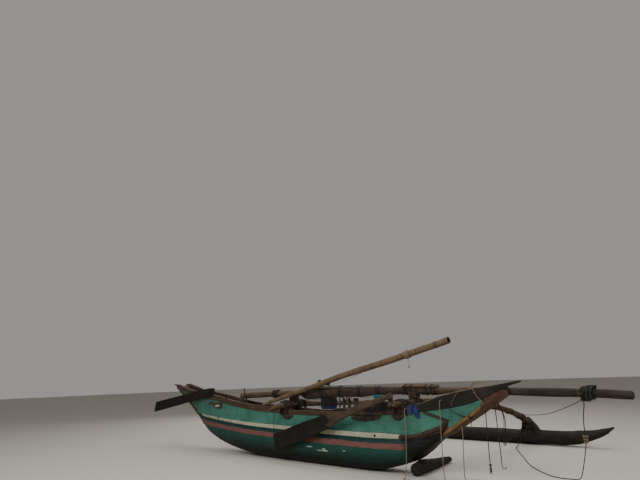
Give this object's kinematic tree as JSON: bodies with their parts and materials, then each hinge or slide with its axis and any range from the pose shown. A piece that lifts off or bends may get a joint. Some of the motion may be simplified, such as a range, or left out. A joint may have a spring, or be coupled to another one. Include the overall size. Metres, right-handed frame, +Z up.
{
  "type": "outrigger canoe",
  "caption": "Beached single-outrigger fishing canoe: dugout with plank sides and raked ends, log float on curved double booms, furled sail on its spar, hanging leeboard and steering board.",
  "frame": {"origin": "on the floor under the middle of the hull's length, on the flat strip of its keel", "axes": "+X towards the bow, +Y towards the float, +Z up"},
  "size_m": [11.479, 5.1206, 2.1021],
  "materials": {
    "hull_paint": "worn dark green paint over black bottom paint",
    "topside_paint": "weathered turquoise paint",
    "white_paint": "chalky off-white paint",
    "old_wood": "grey-brown weathered wood",
    "rail_wood": "worn rail wood",
    "end_wood": "yellow-brown stained boards",
    "board_wood": "dark tarred planks",
    "pole_wood": "peeled round poles",
    "bamboo": "smoke-brown bamboo",
    "sailcloth": "dark tanned cotton",
    "rope": "laid fibre rope",
    "blue_rope": "teal laid rope"
  },
  "bodies": {
    "canoe": {"dugout_hull": "hull_paint", "side_plank_starboard": "topside_paint", "side_plank_port": "topside_paint", "bow_plank_starboard": "topside_paint", "bow_plank_port": "topside_paint", "rub_batten_starboard": "white_paint", "rub_batten_port": "white_paint", "gunwale_rail_starboard": "rail_wood", "gunwale_rail_port": "rail_wood", "bow_horn_plank_starboard": "old_wood", "bow_horn_plank_port": "old_wood", "thwart_stern": "old_wood", "thwart_middle": "old_wood", "thwart_bow": "old_wood", "float_log": "old_wood", "spar_cross_pin": "old_wood", "aft_spar_saddle": "old_wood", "fore_spar_saddle": "old_wood", "post_rack": "old_wood", "leeboard_post": "old_wood", "steering_pin": "old_wood", "chock_log": "old_wood", "roll_sticks": "old_wood", "cleat_block_starboard": "old_wood", "bow_end_board": "end_wood", "stern_end_board": "end_wood", "arrow_batten_starboard": "end_wood", "arrow_batten_port": "end_wood", "aft_pad_starboard": "end_wood", "aft_pad_port": "end_wood", "middle_pad_starboard": "end_wood", "fore_pad_starboard": "end_wood", "fore_pad_port": "end_wood", "fore_boom_pole_aft": "pole_wood", "fore_boom_pole_fore": "pole_wood", "aft_boom_pole_aft": "pole_wood", "aft_boom_pole_fore": "pole_wood", "long_spar": "pole_wood", "fore_boom_lashing_starboard": "rope", "fore_boom_lashing_port": "rope", "aft_boom_lashing_starboard": "rope", "aft_boom_lashing_port": "rope", "fore_float_lashing": "rope", "aft_float_lashing": "rope", "net_bag": "rope", "net_heap": "rope", "rope_fore_lashing": "rope", "rope_bow_horn": "rope", "rope_end_board": "rope", "rope_bow_tassel": "rope", "rope_bow_hook": "rope", "rope_spar_float": "rope", "rope_bundle": "blue_rope", "sail_roll": "sailcloth", "bamboo_pole": "bamboo"},
    "leeboard": {"leeboard": "board_wood"},
    "steering_board": {"steering_board": "board_wood"}
  },
  "joints": [
    {"name": "leeboard_swing", "type": "hinge", "parent": "canoe", "child": "leeboard", "pos_m": [2.7867, -0.46, 1.204], "axis": [0, 1, 0], "range_deg": [-58, 6]},
    {"name": "steering_board_swing", "type": "hinge", "parent": "canoe", "child": "steering_board", "pos_m": [-3.25, -0.27, 1.2], "axis": [0, 1, 0], "range_deg": [-50, 12]}
  ]
}
